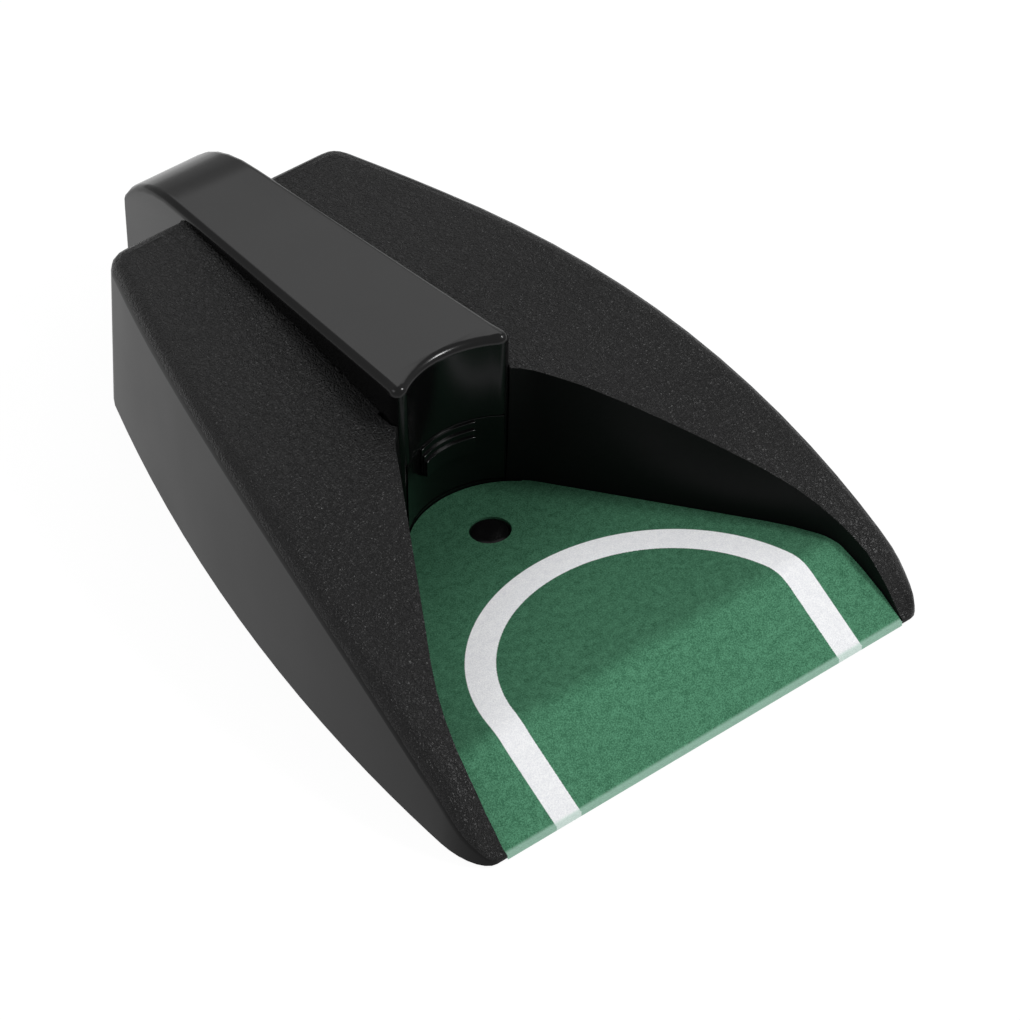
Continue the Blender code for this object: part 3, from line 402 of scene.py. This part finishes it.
# Feet: four pads of moulded black rubber under the floor.
# A dusty bloom and a fine texture keep them dull.
rubber = Finish("foot_rubber", specular_ior_level=0.3)
bloom = rubber.noise(0.004, 4.0, 0.6)
rubber.set(
    base_color=rubber.mix(bloom, (0.018, 0.018, 0.018), (0.035, 0.034, 0.033)),
    roughness=0.82 + bloom * 0.12,
    normal=rubber.bump(rubber.noise(0.0005, 2.0), 0.00003),
)
dress(rubber, *(f"rubber_foot_{number}" for number in range(1, 5)))

# Gears and rack: natural nylon, a slightly translucent cream.
# Patches of grease make it smoother in places.
nylon = Finish("natural_nylon", subsurface_weight=0.15, subsurface_scale=0.002)
cloud = nylon.noise(0.006, 3.0)
grease = nylon.noise(0.012, 2.0).rise(0.5, 0.7)
nylon.set(
    base_color=nylon.mix(cloud, (0.70, 0.67, 0.59), (0.82, 0.80, 0.73)),
    roughness=0.52 - grease * 0.2,
    normal=nylon.bump(nylon.noise(0.0007, 2.0), 0.00001),
)
dress(nylon, "plunger_rack", "sector_gear", "final_gear", "middle_gear", "first_gear")

# Springs, axles, screws, contacts and the motor can: drawn or rolled steel.
# Faint streaks run from front to back.
steel = Finish("bright_steel", metallic=1.0)
drawn = steel.add("ShaderNodeMapping", None, {"Vector": steel.place, "Scale": (1.0, 0.15, 1.0)})
streaks = steel.noise(0.001, 3.0, 0.6, place=drawn)
steel.set(
    base_color=steel.mix(streaks, (0.50, 0.50, 0.51), (0.66, 0.66, 0.67)),
    roughness=0.24 + streaks * 0.18,
    normal=steel.bump(streaks, 0.000004),
)
dress(
    steel, "kick_spring", "trigger_spring", "sector_axle", "middle_axle", "first_axle", "drive_motor",
    "front_contact_strip", "rear_contact_strip", "frame_screw",
    *(f"case_screw_{number}" for number in range(1, 5)),
)

# Motor pinion: turned brass.
# It is slightly tarnished in patches, which also dull it.
brass = Finish("brass", metallic=1.0)
tarnish = brass.noise(0.002, 4.0, 0.6)
brass.set(
    base_color=brass.mix(tarnish, (0.60, 0.42, 0.19), (0.78, 0.58, 0.28)),
    roughness=0.26 + tarnish * 0.16,
)
dress(brass, "motor_pinion")

# Boards: green solder mask over copper tracks that run square to each other.
# The tracks stand slightly proud, under a thin clear coat.
board = Finish("circuit_board", coat_weight=0.3, coat_roughness=0.2)
tracks = board.add(
    "ShaderNodeTexBrick", {"offset": 0.5},
    {
        "Vector": board.place, "Scale": 90.0, "Mortar Size": 0.06, "Mortar Smooth": 0.3,
        "Color1": (0, 0, 0), "Color2": (0, 0, 0), "Mortar": (1, 1, 1),
    },
    output="Color",
)
board.set(
    base_color=board.mix(tracks, (0.012, 0.105, 0.045), (0.035, 0.215, 0.09)),
    roughness=0.34 + board.noise(0.002) * 0.1,
    normal=board.bump(tracks, 0.00003),
)
dress(board, "sensor_board", "control_board")

# Cells: a shrunk dark blue sleeve between plated ends.
# The rear third of the sleeve is a silver band.
cell = Finish("cell_jacket")
lengthwise = cell.add("ShaderNodeSeparateXYZ", None, {"Vector": cell.place}, output="Y")
CELL_FRONT, CELL_REAR = (corner[1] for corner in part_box("battery_cell_1"))
FRONT_PLATE, REAR_PLATE, BAND_START, PRINT_BLUR = 0.0011, 0.0018, 0.0330, 0.0002
sleeve_start, band, sleeve_end = (
    lengthwise.rise(start, start + PRINT_BLUR)
    for start in (CELL_FRONT + FRONT_PLATE, CELL_FRONT + BAND_START, CELL_REAR - REAR_PLATE)
)
ends = 1.0 - sleeve_start + sleeve_end
sleeve = cell.mix(band, (0.018, 0.030, 0.110), (0.42, 0.43, 0.45))
cell.set(
    base_color=cell.mix(ends, sleeve, (0.60, 0.60, 0.61)),
    metallic=ends.math("MAXIMUM", ends, band * 0.8),
    roughness=0.30 + cell.noise(0.004, 3.0) * 0.08,
)
dress(cell, *(f"battery_cell_{number}" for number in range(1, 5)))

# Leads: the battery's and the motor's, in red PVC insulation.
# Faint wrinkles run all along them.
pvc = Finish("red_pvc")
wrinkles = pvc.noise(0.0012, 2.0)
pvc.set(
    base_color=pvc.mix(wrinkles, (0.38, 0.012, 0.012), (0.52, 0.025, 0.02)),
    roughness=0.36 + wrinkles * 0.12,
    normal=pvc.bump(wrinkles, 0.00003),
)
dress(pvc, "battery_lead", "motor_lead")
